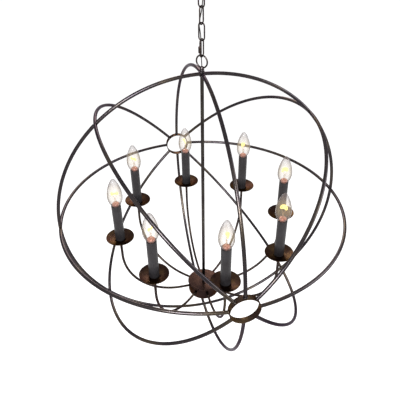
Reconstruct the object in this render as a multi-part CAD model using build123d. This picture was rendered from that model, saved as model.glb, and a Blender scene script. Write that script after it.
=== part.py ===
from build123d import *
from math import asin, cos, pi, radians, sin, sqrt, tan
import os

# Orb chandelier, eight candle lights in a cage of bent rod, hung on a short chain.
# Millimetres. Origin on the ceiling, at the middle of the mounting bar; +Z up, so all of it hangs below.
# The front hub ring of the cage faces -Y and the right-hand side of the cage is +X.

# ---- driving dimensions: cage ----
CAGE_RADIUS = 350.0        # middle of the bent rod, from the centre of the cage
ROD = 8.0                  # thickness of the ribs and of the hoop
RIB_ANGLES = [48, 90, 138, 180, 228, 270, 318]  # degrees from the top rib towards the right
RIB_RUNS = 15              # flats that each half circle of rod is bent in
HOOP_RUNS = 4              # flats of the hoop from one rib to the next
ROD_SIDES = 8
HUB_OUTER = 66.0           # hub ring, outer diameter
HUB_WALL = 2.0
HUB_WIDTH = 14.0
HUB_SIDES = 40
HUB_LAND = 1.0             # how far the middle of a rib's end reaches over the ring before it is shaped
LAP_CLEARANCE = 0.03       # room beside each half-lap
LAP_REACH = 3 * ROD        # size of the cutters round a crossing, well past the rod

# ---- driving dimensions: stem and drum ----
STEM = 8.0                 # outer diameter of the centre tube
STEM_BORE = 5.5
STEM_ABOVE_ROD = 6.0       # thread that stands above the crossing and takes the loop
TUBE_SIDES = 12
DRUM_DROP = 252.0          # top of the drum below the centre of the cage
DRUM_LID = 88.0
DRUM_LID_THICK = 2.0
DRUM_CUP = 85.0
DRUM_CUP_HEIGHT = 34.0
DRUM_WALL = 1.5
DRUM_EDGE = 7.0            # slope of the lower edge
DRUM_SIDES = 24
CAP_NUT = 13.0
CAP_NUT_HEIGHT = 7.0
CAP_NUT_FLOOR = 2.0

# ---- driving dimensions: arms and candles ----
LIGHTS = 8
CANDLE_RING = 214.0        # radius of the ring that the candles stand on
ARM = 6.5
ARM_BORE = 4.0
ARM_BELOW_LID = 12.0       # middle of the arm below the top of the lid
ARM_BEND = 150.0           # radius of the long upward bend
ARM_BEND_RUNS = 5
ARM_SIDES = 8
ARM_BORE_SIDES = 6
ARM_INSIDE = 9.0           # how far the arm reaches inside the wall of the drum
ARM_ABOVE_WELL = 8.0       # thread that stands up through the pan and takes the socket
RIM_DROP = 53.0            # rim of the drip pans below the centre of the cage
PAN = 71.0                 # drip pan, outer diameter
PAN_DEPTH = 6.0
PAN_WELL = 26.0            # flat of the well that the candle stands in
PAN_KNEE = 44.0            # diameter at which the dish starts to flare
PAN_KNEE_DEPTH = 4.3
PAN_WALL = 1.2
PAN_SIDES = 14
SLEEVE = 23.5
SLEEVE_WALL = 0.9
SLEEVE_ABOVE_RIM = 98.0
SLEEVE_SIDES = 12
NUT_ACROSS = 11.0          # lock nuts of the arms, across the flats
NUT_HEIGHT = 3.0

# ---- driving dimensions: lamps and sockets ----
BULB = 37.0
BULB_HEIGHT = 74.0         # glass above the end of the sleeve
BULB_NECK = 17.6
BULB_SUNK = 2.0            # glass below the end of the sleeve
BULB_CAP = 11.8
BULB_CAP_LENGTH = 20.0
BULB_CAP_SIDES = 8
BULB_SIDES = 12
# the glass from the bottom up, as shares of its width and of its height
GLASS_SHAPE = [(0.84, 0.12), (1.0, 0.34), (0.92, 0.55), (0.6, 0.77), (0.22, 0.93)]
BULB_TIP = 1.2
SOCKET = 19.0
SOCKET_SIDES = 8
SOCKET_FLOOR = 4.0
SOCKET_STALK = 9.6
SOCKET_DEPTH = 22.0        # depth of the socket's mouth
SOCKET_BELOW_END = 3.5     # mouth of the socket below the end of the sleeve
SOCKET_CLEARANCE = 0.3

# ---- driving dimensions: chain, from the top down ----
LINK_LENGTH = 38.5
LINK_WIDTH = 16.5
LINK_WIRE = 3.0
LINK_COUNT = 3
QUICK_LENGTH = 40.0        # the link that opens, with a long nut on one leg
QUICK_NUT = 6.5
QUICK_NUT_LENGTH = 13.0
QUICK_NUT_REST = 2.0       # middle of the nut below the middle of the leg
QUICK_GAP = 4.5            # gap in the leg that the nut closes
QUICK_GAP_DROP = 4.2       # middle of the gap below the middle of the leg
LOOP = 30.0                # ring on top of the cage, outer diameter
LOOP_WIRE = 3.5
LOOP_NECK = 10.5
LOOP_NECK_HEIGHT = 7.5
EYE = 25.0                 # ring of the ceiling loop, outer diameter; the canopy slides down over it
EYE_WIRE = 4.5
HANG_CLEARANCE = 0.3       # between a link and what it hangs on
BOW_RUNS = 6               # flats in the half circle at a link's end
RING_RUNS = 16
WIRE_SIDES = 8
CHAIN_TURN = 45.0          # the planes of the links lie at this angle to the cage's axes

# ---- driving dimensions: ceiling fitting ----
CANOPY = 127.0
CANOPY_DEPTH = 24.0
CANOPY_WALL = 1.2
CANOPY_FLAT = 52.0         # flat middle of the canopy
CANOPY_SHOULDER = 104.0    # diameter where the slope turns down to the lip
CANOPY_SHOULDER_DEPTH = 17.0
CANOPY_LIP = 4.0
CANOPY_SIDES = 24
CANOPY_CLEARANCE = 0.6     # between the canopy and the thread of the ceiling loop
BAR_LENGTH = 104.0
BAR_WIDTH = 20.0
BAR_THICK = 2.5
SLOT_SPACING = 79.4        # spans junction boxes from 70 to 89 mm
SLOT_LENGTH = 14.0
SLOT_WIDTH = 4.8
NIPPLE = 10.0
NIPPLE_BORE = 6.5
NIPPLE_LENGTH = 19.0
NIPPLE_NUT = 15.0
NIPPLE_NUT_HEIGHT = 3.5
NIPPLE_CLEARANCE = 1.0     # below the nipple's end, in the ceiling loop
THREAD_CLEARANCE = 0.05
COLLAR = 26.0              # threaded body of the ceiling loop
COLLAR_LENGTH = 17.0
COLLAR_SIDES = 16
EYE_BOSS = 13.0            # boss between the collar and the ring
RING_NUT = 36.0            # ring that holds the canopy up
RING_NUT_HEIGHT = 7.0
RING_NUT_SIDES = 24
RING_NUT_CLEARANCE = 0.1
GROUND_SCREW = 4.0
GROUND_SCREW_HEAD = 8.0
GROUND_SCREW_HEAD_HEIGHT = 2.4
GROUND_SCREW_PLACE = 20.0

# ---- driving dimensions: lamp wire ----
CORD = 2.2
CORD_SIDES = 5
CORD_ASIDE = 3.9           # from the chain's axis, both ways, where one link hangs on the next
CORD_ASIDE_IN_LINK = 3.4   # from the chain's axis where the wire passes through a link
CORD_ASIDE_AT_EYE = 4.3
CORD_IN_NIPPLE = 1.0       # how far the wire is followed up the nipple
CORD_STRAIGHT_OUT = 0.5    # straight stretch under the ceiling loop's bore
CORD_STRAIGHT_IN = 4.0     # straight stretch above the bore of the cage's loop
CORD_IN_STEM = 14.0        # how far the wire is followed below the crossing
CORD_BEND_SHARE = 0.45     # share of the shorter run beside it that each bend takes

# ---- places that follow from the sizes ----
def hung_on(wire_z, wire, hanging_wire):
    """Height of the top bow's middle line of a piece that hangs on a wire."""
    return wire_z + wire / 2 + hanging_wire / 2 + HANG_CLEARANCE


collar_bottom = -(CANOPY_DEPTH + RING_NUT_HEIGHT)
eye_z = collar_bottom - EYE / 2 + EYE_WIRE / 2
support_z, support_wire = eye_z - (EYE - EYE_WIRE) / 2, EYE_WIRE
link_z = []                # middle of each link
hang_z = [support_z]       # where each swinging piece hangs, from the top down
for _ in range(LINK_COUNT):
    middle = hung_on(support_z, support_wire, LINK_WIRE) - (LINK_LENGTH - LINK_WIRE) / 2
    link_z.append(middle)
    support_z, support_wire = middle - (LINK_LENGTH - LINK_WIRE) / 2, LINK_WIRE
    hang_z.append(support_z)
quick_z = hung_on(support_z, support_wire, LINK_WIRE) - (QUICK_LENGTH - LINK_WIRE) / 2
hang_z.append(quick_z - (QUICK_LENGTH - LINK_WIRE) / 2)
loop_radius = (LOOP - LOOP_WIRE) / 2
loop_z = hung_on(hang_z[-1], LINK_WIRE, LOOP_WIRE) - loop_radius
crown_z = loop_z - LOOP / 2 - LOOP_NECK_HEIGHT             # top of the rod at the crossing
cage_z = crown_z - CAGE_RADIUS - ROD / 2
lid_top = cage_z - DRUM_DROP
arm_z = lid_top - ARM_BELOW_LID
rim_z = cage_z - RIM_DROP
well_z = rim_z - PAN_DEPTH                               # floor that the candle stands on
sleeve_top = rim_z + SLEEVE_ABOVE_RIM
socket_top = sleeve_top - SOCKET_BELOW_END
hub_offset = sqrt(CAGE_RADIUS**2 - (HUB_OUTER / 2) ** 2)  # hub rings' middle from the cage's centre
centre = Vector(0, 0, cage_z)
parts = {}


# ---- ways of making ----
def flat_sided(width, sides):
    """Regular outline, as wide across its flats, with a flat towards the first axis."""
    return RegularPolygon(width / 2, sides, major_radius=False, rotation=180 / sides)


def prism(plane, width, sides, length):
    """Flat-sided stock that stands on a plane."""
    return extrude(plane * flat_sided(width, sides), length)


def upright(width, sides, low, high):
    """Flat-sided stock on the axis of the whole, from one height to another."""
    return prism(Plane(origin=(0, 0, low)), width, sides, high - low)


def bar(points, width, sides, normal, closed=False):
    """Flat-sided rod along straight runs in one plane. A closed one starts mid-run."""
    if closed:
        points = [(points[0] + points[-1]) / 2, *points]
    path = Polyline(*points, close=closed)
    start = Plane(origin=path @ 0, x_dir=normal, z_dir=path % 0)
    return sweep(start * flat_sided(width, sides), path=path, transition=Transition.RIGHT)


def turned(outline, sides, place=(0, 0, 0)):
    """Turned form with flat sides, from (radius, height) points; the radius is measured to its flats."""
    turns = [2 * pi * (i + 0.5) / sides for i in range(sides)]
    around = [Vector(cos(turn), sin(turn), 0) / cos(pi / sides) for turn in turns]
    rings = []
    for radius, height in outline:
        middle = Vector(*place) + Vector(0, 0, height)
        rings.append([middle + out * radius for out in around])
    faces = [Face(Wire.make_polygon(rings[0])), Face(Wire.make_polygon(rings[-1]))]
    for low, high in zip(rings, rings[1:]):
        for i in range(sides):
            faces.append(Face(Wire.make_polygon([low[i - 1], low[i], high[i], high[i - 1]])))
    return Solid(Shell(faces))


def nut(across, height, thread, thread_sides, plane):
    """Six-sided nut on a plane, standing along the plane's normal, run onto a thread."""
    hole = prism(plane, thread + 2 * THREAD_CLEARANCE, thread_sides, height)
    return prism(plane, across, 6, height) - hole


def turn_plane(index):
    """Directions across a link: they stand crosswise by turns, and the eye takes the first turn."""
    angle = radians(CHAIN_TURN if index % 2 == 0 else -CHAIN_TURN)
    along = Vector(cos(angle), sin(angle), 0)
    return along, along.cross(Vector(0, 0, 1))


# ---- cage ----
def on_rib(angle, turn, radius=CAGE_RADIUS):
    """Point of a rib: angle is the rib's own, turn runs from the front hub over to the back one."""
    out = Vector(sin(radians(angle)), 0, cos(radians(angle)))
    return centre + out * (radius * sin(turn)) + Vector(0, -1, 0) * (radius * cos(turn))


def hub_stock(width, half_length, middle):
    """Round stock along the line through both hub rings."""
    plane = Plane(origin=(0, middle - half_length, cage_z), x_dir=(1, 0, 0), z_dir=(0, 1, 0))
    return prism(plane, width, HUB_SIDES, 2 * half_length)


def rib(angle):
    """Half circle of rod from hub to hub, shaped to the hub rings at its ends."""
    start = asin((HUB_OUTER / 2 - HUB_LAND) / CAGE_RADIUS)
    run = (pi - 2 * start) / RIB_RUNS
    corner = CAGE_RADIUS / cos(run / 2)
    points = [on_rib(angle, start + run * i, corner) for i in range(RIB_RUNS + 1)]
    side = Vector(cos(radians(angle)), 0, -sin(radians(angle)))
    return bar(points, ROD, ROD_SIDES, side) - hub_stock(HUB_OUTER, CAGE_RADIUS + ROD, 0)


def lap(angle, inner, along_rib):
    """Half of the crossing between the rib at this angle and the hoop: the notch in one of them."""
    out = Vector(sin(radians(angle)), 0, cos(radians(angle)))
    plane = Plane(origin=centre + out * CAGE_RADIUS, x_dir=(0, 1, 0), z_dir=out)
    room = ROD + 2 * LAP_CLEARANCE
    length, width = (room, LAP_REACH) if along_rib else (LAP_REACH, room)
    return extrude(plane * Rectangle(length, width), -ROD if inner else ROD)


def hoop():
    """Full hoop across the ribs, notched on its outside where they pass, open at the stem."""
    crossings = [0, *RIB_ANGLES, 360]
    points = []
    for here, there in zip(crossings, crossings[1:]):
        step = radians(there - here) / HOOP_RUNS
        for i in range(HOOP_RUNS):
            turn = radians(here) + step * (i + 0.5)
            points.append(centre + Vector(sin(turn), 0, cos(turn)) * (CAGE_RADIUS / cos(step / 2)))
    ring = bar(points, ROD, ROD_SIDES, (0, 1, 0), closed=True)
    for angle in RIB_ANGLES:
        ring -= lap(angle, inner=False, along_rib=False)
    return ring - stem_hole


stem_room = STEM + 2 * THREAD_CLEARANCE
stem_hole = upright(stem_room, TUBE_SIDES, cage_z + CAGE_RADIUS / 2, crown_z + ROD)
parts["cross_hoop"] = hoop()
for number, angle in enumerate(RIB_ANGLES, 2):
    parts[f"rib_{number}"] = rib(angle) - lap(angle, inner=True, along_rib=True)
hoop_room = Pos(0, 0, cage_z + CAGE_RADIUS) * Box(LAP_REACH, ROD + 2 * LAP_CLEARANCE, LAP_REACH)
top_halves = (rib(0) - hoop_room - stem_hole).solids().sort_by(Axis.Y)
parts["rib_1_front"], parts["rib_1_back"] = top_halves[0], top_halves[-1]

for name, side in (("front", -1), ("back", 1)):
    band = hub_stock(HUB_OUTER, HUB_WIDTH / 2, side * hub_offset)
    parts[f"hub_ring_{name}"] = band - hub_stock(HUB_OUTER - 2 * HUB_WALL, HUB_WIDTH / 2, side * hub_offset)

# ---- stem and drum ----
cup_top = lid_top - DRUM_LID_THICK
cup_bottom = cup_top - DRUM_CUP_HEIGHT
stem_bottom = cup_bottom - CAP_NUT_HEIGHT + CAP_NUT_FLOOR
stem_top = crown_z + STEM_ABOVE_ROD
stem = upright(STEM, TUBE_SIDES, stem_bottom, stem_top)
parts["stem"] = stem - upright(STEM_BORE, TUBE_SIDES, stem_bottom, stem_top)

lid = upright(DRUM_LID, DRUM_SIDES, cup_top, lid_top)
parts["drum_lid"] = lid - upright(stem_room, TUBE_SIDES, cup_top, lid_top)

outer, floor = DRUM_CUP / 2, cup_bottom + DRUM_WALL
outside = [(outer - DRUM_EDGE, cup_bottom), (outer, cup_bottom + DRUM_EDGE), (outer, cup_top)]
inside = [(outer - DRUM_EDGE - DRUM_WALL, floor), (outer - DRUM_WALL, floor + DRUM_EDGE)]
inside.append((outer - DRUM_WALL, cup_top))
cup = turned(outside, DRUM_SIDES) - turned(inside, DRUM_SIDES)
cup -= upright(stem_room, TUBE_SIDES, cup_bottom, cup_top)
cap_nut = upright(CAP_NUT, 6, cup_bottom - CAP_NUT_HEIGHT, cup_bottom)
parts["drum_cap_nut"] = cap_nut - upright(stem_room, TUBE_SIDES, stem_bottom, cup_bottom)


# ---- arms and candles ----
def out_along(index):
    """Direction of one light, the first one towards the front hub."""
    turn = radians(-90 + 360 / LIGHTS * index)
    return Vector(cos(turn), sin(turn), 0)


def arm_points(out):
    """Middle line of an arm: level out of the drum, one long bend, straight up to the pan."""
    wall = DRUM_CUP / 2 - DRUM_WALL - ARM_INSIDE
    run = pi / 2 / ARM_BEND_RUNS
    corner = ARM_BEND / cos(run / 2)
    points = [out * wall + Vector(0, 0, arm_z)]
    for i in range(ARM_BEND_RUNS):
        turn = run * (i + 0.5)
        reach = CANDLE_RING - ARM_BEND + corner * sin(turn)
        points.append(out * reach + Vector(0, 0, arm_z + ARM_BEND - corner * cos(turn)))
    points.append(out * CANDLE_RING + Vector(0, 0, well_z + ARM_ABOVE_WELL))
    return points


pans, pan_nuts, arm_nuts, sockets = [], [], [], []
arm_room = ARM + 2 * THREAD_CLEARANCE
mouth_floor = socket_top - SOCKET_DEPTH
for index in range(LIGHTS):
    name = index + 1
    out = out_along(index)
    side = out.cross(Vector(0, 0, 1))
    foot = out * CANDLE_RING
    points = arm_points(out)
    parts[f"arm_{name}"] = bar(points, ARM, ARM_SIDES, side) - bar(points, ARM_BORE, ARM_BORE_SIDES, side)
    nut_corner = NUT_ACROSS / sqrt(3)
    wall_inside = sqrt((outer - DRUM_WALL) ** 2 - nut_corner**2)
    lock_plane = Plane(out * wall_inside + Vector(0, 0, arm_z), x_dir=side, z_dir=-out)
    arm_nuts.append(nut(NUT_ACROSS, NUT_HEIGHT, ARM, ARM_SIDES, lock_plane))
    cup -= prism(Plane(Vector(0, 0, arm_z), x_dir=side, z_dir=out), arm_room, ARM_SIDES, DRUM_CUP)

    under_pan = Plane(foot + Vector(0, 0, well_z - PAN_WALL), x_dir=side, z_dir=(0, 0, -1))
    pan_nuts.append(nut(NUT_ACROSS, NUT_HEIGHT, ARM, ARM_SIDES, under_pan))
    rim, knee, well = PAN / 2, PAN_KNEE / 2, PAN_WELL / 2
    dish = [(well + PAN_WALL, -PAN_DEPTH - PAN_WALL), (knee + PAN_WALL / 2, -PAN_KNEE_DEPTH - PAN_WALL)]
    dish += [(rim, -PAN_WALL), (rim, 0)]
    hollow = [(well, -PAN_DEPTH), (knee, -PAN_KNEE_DEPTH), (rim - PAN_WALL, 0)]
    on_rim = foot + Vector(0, 0, rim_z)
    pan = turned(dish, PAN_SIDES, on_rim) - turned(hollow, PAN_SIDES, on_rim)
    thread = Plane(foot + Vector(0, 0, well_z - 2 * PAN_WALL), x_dir=side)
    pans.append(pan - prism(thread, arm_room, ARM_SIDES, 3 * PAN_WALL))

    stand = foot + Vector(0, 0, well_z)
    bore = SLEEVE / 2 - SLEEVE_WALL
    tube = turned([(SLEEVE / 2, 0), (SLEEVE / 2, sleeve_top - well_z)], SLEEVE_SIDES, stand)
    tube -= turned([(bore, 0), (bore, sleeve_top - well_z)], SLEEVE_SIDES, stand)
    parts[f"candle_sleeve_{name}"] = tube

    stalk = prism(Plane(stand, x_dir=side), SOCKET_STALK, SOCKET_SIDES, mouth_floor - SOCKET_FLOOR - well_z)
    head_plane = Plane(foot + Vector(0, 0, mouth_floor - SOCKET_FLOOR), x_dir=side)
    head = prism(head_plane, SOCKET, SOCKET_SIDES, SOCKET_DEPTH + SOCKET_FLOOR)
    mouth = BULB_CAP / cos(pi / BULB_CAP_SIDES) + 2 * SOCKET_CLEARANCE
    head -= prism(head_plane.offset(SOCKET_FLOOR), mouth, SOCKET_SIDES, SOCKET_DEPTH)
    sockets.append(stalk + head - prism(Plane(stand, x_dir=side), arm_room, ARM_SIDES, ARM_ABOVE_WELL))

    glass = [(BULB_NECK / 2, -BULB_SUNK)]
    glass += [(BULB / 2 * width, BULB_HEIGHT * height) for width, height in GLASS_SHAPE]
    glass.append((BULB_TIP / 2, BULB_HEIGHT))
    envelope = turned(glass, BULB_SIDES, foot + Vector(0, 0, sleeve_top))
    lamp_cap = turned([(BULB_CAP / 2, -BULB_CAP_LENGTH), (BULB_CAP / 2, 0)], BULB_CAP_SIDES,
                      foot + Vector(0, 0, sleeve_top - BULB_SUNK))
    parts[f"bulb_{name}"] = Compound(children=[envelope, lamp_cap])

parts["drum_cup"] = cup
parts["drip_pans"] = Compound(children=pans)
parts["pan_nuts"] = Compound(children=pan_nuts)
parts["arm_nuts"] = Compound(children=arm_nuts)
parts["sockets"] = Compound(children=sockets)


# ---- chain ----
def link_points(middle, length, width, along):
    """Middle line of a link: two straight legs and two half-round bows."""
    bow = (width - LINK_WIRE) / 2
    run = pi / BOW_RUNS
    corner = bow / cos(run / 2)
    leg = (length - width) / 2
    points = []
    for end in (1, -1):
        for i in range(BOW_RUNS):
            turn = run * (i + 0.5)
            across = -corner * cos(turn) * end
            points.append(Vector(0, 0, middle + end * (leg + corner * sin(turn))) + along * across)
    return points


for index in range(LINK_COUNT):
    along, normal = turn_plane(index + 1)
    points = link_points(link_z[index], LINK_LENGTH, LINK_WIDTH, along)
    parts[f"chain_link_{index + 1}"] = bar(points, LINK_WIRE, WIRE_SIDES, normal, closed=True)

along, normal = turn_plane(LINK_COUNT + 1)
leg_foot = along * (-(LINK_WIDTH - LINK_WIRE) / 2)
gap_place = leg_foot + Vector(0, 0, quick_z - QUICK_GAP_DROP)
points = link_points(quick_z, QUICK_LENGTH, LINK_WIDTH, along)
quick = bar(points, LINK_WIRE, WIRE_SIDES, normal, closed=True)
parts["quick_link"] = quick - Pos(*gap_place) * Box(2 * LINK_WIRE, 2 * LINK_WIRE, QUICK_GAP)
nut_plane = Plane(leg_foot + Vector(0, 0, quick_z - QUICK_NUT_REST - QUICK_NUT_LENGTH / 2), x_dir=along)
parts["quick_link_nut"] = nut(QUICK_NUT, QUICK_NUT_LENGTH, LINK_WIRE, WIRE_SIDES, nut_plane)


def ring(middle, outer, wire, along, normal):
    """Round ring of wire, standing upright."""
    run = 2 * pi / RING_RUNS
    corner = (outer - wire) / 2 / cos(run / 2)
    points = []
    for i in range(RING_RUNS):
        turn = run * (i + 0.5)
        points.append(Vector(0, 0, middle + corner * cos(turn)) + along * (corner * sin(turn)))
    return bar(points, wire, WIRE_SIDES, normal, closed=True)


along, normal = turn_plane(LINK_COUNT + 2)
neck_top = loop_z - loop_radius + LOOP_WIRE / 2
loop = ring(loop_z, LOOP, LOOP_WIRE, along, normal) + upright(LOOP_NECK, TUBE_SIDES, crown_z, neck_top)
loop -= upright(stem_room, TUBE_SIDES, crown_z, stem_top)
parts["top_loop"] = loop - upright(STEM_BORE, TUBE_SIDES, crown_z, neck_top)

# ---- ceiling fitting ----
nipple_room = NIPPLE + 2 * THREAD_CLEARANCE
slot = SlotOverall(SLOT_LENGTH, SLOT_WIDTH)
strap = Rectangle(BAR_LENGTH, BAR_WIDTH) - flat_sided(nipple_room, TUBE_SIDES)
strap -= Pos(SLOT_SPACING / 2, 0) * slot + Pos(-SLOT_SPACING / 2, 0) * slot
strap -= Pos(GROUND_SCREW_PLACE, 0) * flat_sided(GROUND_SCREW + 2 * THREAD_CLEARANCE, WIRE_SIDES)
parts["mounting_bar"] = extrude(strap, -BAR_THICK)
nipple = upright(NIPPLE, TUBE_SIDES, -NIPPLE_LENGTH, 0)
parts["nipple"] = nipple - upright(NIPPLE_BORE, TUBE_SIDES, -NIPPLE_LENGTH, 0)
under_bar = Plane(origin=(0, 0, -BAR_THICK), x_dir=(1, 0, 0), z_dir=(0, 0, -1))
parts["nipple_nut"] = nut(NIPPLE_NUT, NIPPLE_NUT_HEIGHT, NIPPLE, TUBE_SIDES, under_bar)
screw_plane = Plane(origin=(GROUND_SCREW_PLACE, 0, -BAR_THICK), x_dir=(1, 0, 0), z_dir=(0, 0, -1))
screw_head = prism(screw_plane, GROUND_SCREW_HEAD, 6, GROUND_SCREW_HEAD_HEIGHT)
parts["ground_screw"] = screw_head + prism(screw_plane, GROUND_SCREW, WIRE_SIDES, -BAR_THICK)

eye_along, eye_normal = turn_plane(0)
eye_inner = eye_z + EYE / 2 - EYE_WIRE
collar_top = collar_bottom + COLLAR_LENGTH
body = upright(COLLAR, COLLAR_SIDES, collar_bottom, collar_top)
body += upright(EYE_BOSS, TUBE_SIDES, eye_inner, collar_bottom)
body += ring(eye_z, EYE, EYE_WIRE, eye_along, eye_normal)
body -= upright(nipple_room, TUBE_SIDES, -NIPPLE_LENGTH - NIPPLE_CLEARANCE, collar_top)
parts["ceiling_loop"] = body - upright(STEM_BORE, TUBE_SIDES, eye_inner, collar_top)

rim, flat, wall = CANOPY / 2, CANOPY_FLAT / 2, CANOPY_WALL
shell = [(flat, -CANOPY_DEPTH), (CANOPY_SHOULDER / 2, -CANOPY_SHOULDER_DEPTH), (rim, -CANOPY_LIP), (rim, 0)]
lining = [(flat - wall, -CANOPY_DEPTH + wall)]
lining.append((CANOPY_SHOULDER / 2 - wall, -CANOPY_SHOULDER_DEPTH + wall / 2))
lining += [(rim - wall, -CANOPY_LIP), (rim - wall, 0)]
canopy = turned(shell, CANOPY_SIDES) - turned(lining, CANOPY_SIDES)
canopy_bottom = -CANOPY_DEPTH
canopy_room = COLLAR + 2 * CANOPY_CLEARANCE
parts["canopy"] = canopy - upright(canopy_room, COLLAR_SIDES, canopy_bottom, canopy_bottom + 2 * wall)
grip = upright(RING_NUT, RING_NUT_SIDES, collar_bottom, canopy_bottom)
grip_room = COLLAR + 2 * RING_NUT_CLEARANCE
parts["canopy_ring"] = grip - upright(grip_room, COLLAR_SIDES, collar_bottom, canopy_bottom)

# ---- lamp wire: down the chain from link to link, then into the stem ----
first = turn_plane(1)[0]
second = turn_plane(0)[0]


def beside(aside_first, aside_second, height):
    """Point of the wire's route, off the chain's axis along the planes of the links."""
    return first * aside_first + second * aside_second + Vector(0, 0, height)


aside, inside = CORD_ASIDE, CORD_ASIDE_IN_LINK
route = [
    beside(0, 0, -NIPPLE_LENGTH + CORD_IN_NIPPLE),
    beside(0, 0, eye_inner - CORD_STRAIGHT_OUT),
    beside(CORD_ASIDE_AT_EYE, CORD_ASIDE_AT_EYE, hang_z[0]),
    beside(inside, 0, link_z[0]),
    beside(aside, -aside, hang_z[1]),
    beside(0, -inside, link_z[1]),
    beside(-aside, -aside, hang_z[2]),
    beside(-inside, 0, link_z[2]),
    beside(-aside, aside, hang_z[3]),
    beside(-inside, aside, quick_z),
    beside(-aside, aside, hang_z[4]),
    beside(0, 0, neck_top + CORD_STRAIGHT_IN),
    beside(0, 0, crown_z - CORD_IN_STEM),
]
bends = []
for before, here, after in zip(route, route[1:], route[2:]):
    run_in, run_out = here - before, after - here
    half_turn = radians(run_in.get_angle(run_out)) / 2
    bends.append(CORD_BEND_SHARE * min(run_in.length, run_out.length) / tan(half_turn))
lead = FilletPolyline(*route, radius=bends)
lead_plane = Plane(origin=lead @ 0, x_dir=first, z_dir=lead % 0)
parts["lamp_wire"] = sweep(lead_plane * RegularPolygon(CORD / 2, CORD_SIDES), path=lead)
print("lamp wire length", round(lead.length, 1), "bend radii", [round(radius, 1) for radius in bends])
print("hanging points", [round(z, 2) for z in hang_z], "cage centre", round(cage_z, 2))

# ---- one file for each piece ----
os.makedirs("parts", exist_ok=True)
for name, piece in parts.items():
    export_step(piece, f"parts/{name}.step")
print(len(parts), "pieces")
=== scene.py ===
from math import asin, cos, pi, radians, sin

import bmesh
import bpy
from mathutils import Matrix, Vector


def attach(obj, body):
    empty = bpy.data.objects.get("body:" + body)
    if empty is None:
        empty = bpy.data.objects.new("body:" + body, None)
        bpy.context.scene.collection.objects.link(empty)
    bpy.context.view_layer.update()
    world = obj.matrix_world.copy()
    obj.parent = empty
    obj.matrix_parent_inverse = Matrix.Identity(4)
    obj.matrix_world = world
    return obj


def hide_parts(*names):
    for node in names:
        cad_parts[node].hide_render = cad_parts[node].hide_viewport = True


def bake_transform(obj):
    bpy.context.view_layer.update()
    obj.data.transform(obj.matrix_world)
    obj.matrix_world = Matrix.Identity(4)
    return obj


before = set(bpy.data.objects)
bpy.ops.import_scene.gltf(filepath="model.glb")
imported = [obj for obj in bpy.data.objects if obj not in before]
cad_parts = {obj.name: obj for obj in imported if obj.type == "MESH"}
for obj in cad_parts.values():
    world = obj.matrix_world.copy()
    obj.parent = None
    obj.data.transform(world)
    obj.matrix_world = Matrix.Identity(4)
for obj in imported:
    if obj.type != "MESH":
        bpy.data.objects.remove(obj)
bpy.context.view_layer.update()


# ---- mounting bar and ground screw ----
# A strap of zinc-plated steel, stamped with two slots for the ceiling box and a tapped middle hole.
# The ground screw beside the hole is green, with a hexagon head.
def from_to(nodes, links, value, given, wanted):
    """A node's value, moved from the given range to the wanted one and held inside it."""
    change = nodes.new("ShaderNodeMapRange")
    change.inputs["From Min"].default_value, change.inputs["From Max"].default_value = given
    change.inputs["To Min"].default_value, change.inputs["To Max"].default_value = wanted
    links.new(value, change.inputs["Value"])
    return change.outputs["Result"]


def finish(name, shades, rough, patch=30, grain=500, relief=0.15, metallic=1.0, rim=(1, 0.9, 0.88)):
    """Finish whose tone drifts in patches, with a fine grain in its gloss and in its surface.

    Patch and grain are how many of each fit in a metre, and rim is the tint of a grazing reflection.
    """
    material = bpy.data.materials.new(name)
    material.use_nodes = True
    nodes, links = material.node_tree.nodes, material.node_tree.links
    surface = nodes["Principled BSDF"]
    surface.inputs["Metallic"].default_value = metallic
    surface.inputs["Specular Tint"].default_value = (*rim, 1)
    where = nodes.new("ShaderNodeTexCoord").outputs["Object"]
    drift = nodes.new("ShaderNodeTexNoise")
    drift.inputs["Scale"].default_value = patch
    drift.inputs["Detail"].default_value = 6
    drift.inputs["Roughness"].default_value = 0.62
    links.new(where, drift.inputs["Vector"])
    tones = nodes.new("ShaderNodeValToRGB")
    while len(tones.color_ramp.elements) < len(shades):
        tones.color_ramp.elements.new(0.5)
    darkest, spread = 0.36, 0.28
    for i, shade in enumerate(shades):
        tones.color_ramp.elements[i].position = darkest + spread * i / (len(shades) - 1)
        tones.color_ramp.elements[i].color = (*shade, 1)
    links.new(drift.outputs["Fac"], tones.inputs["Fac"])
    links.new(tones.outputs["Color"], surface.inputs["Base Color"])
    fine = nodes.new("ShaderNodeTexNoise")
    fine.inputs["Scale"].default_value = grain
    fine.inputs["Detail"].default_value = 3
    links.new(where, fine.inputs["Vector"])
    gloss = from_to(nodes, links, fine.outputs["Fac"], (0.3, 0.7), rough)
    links.new(gloss, surface.inputs["Roughness"])
    bump = nodes.new("ShaderNodeBump")
    bump.inputs["Strength"].default_value = relief
    bump.inputs["Distance"].default_value = 0.0003
    links.new(fine.outputs["Fac"], bump.inputs["Height"])
    links.new(bump.outputs["Normal"], surface.inputs["Normal"])
    return material


zinc = finish("zinc_plate", [(0.42, 0.42, 0.4), (0.55, 0.54, 0.5), (0.62, 0.58, 0.5)], (0.25, 0.45),
              patch=60)
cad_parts["mounting_bar"].material_slots[0].material = zinc
green = finish("green_screw", [(0.02, 0.16, 0.05), (0.04, 0.26, 0.1)], (0.3, 0.45), patch=300,
               metallic=0.6)
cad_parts["ground_screw"].material_slots[0].material = green


# ---- threaded nipple and its nut ----
# A short length of zinc-plated lamp pipe, threaded all the way, that the ceiling loop hangs on.
# A hexagon nut locks it under the bar, and the lamp wire comes down through its bore.
def begun(name):
    """The form just added gets its name, keeps its place in its mesh and is opened for editing."""
    bpy.ops.object.transform_apply(location=True, rotation=True, scale=True)
    piece = bpy.context.object
    piece.name = piece.data.name = name
    bpy.ops.object.mode_set(mode="EDIT")
    return piece


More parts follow.
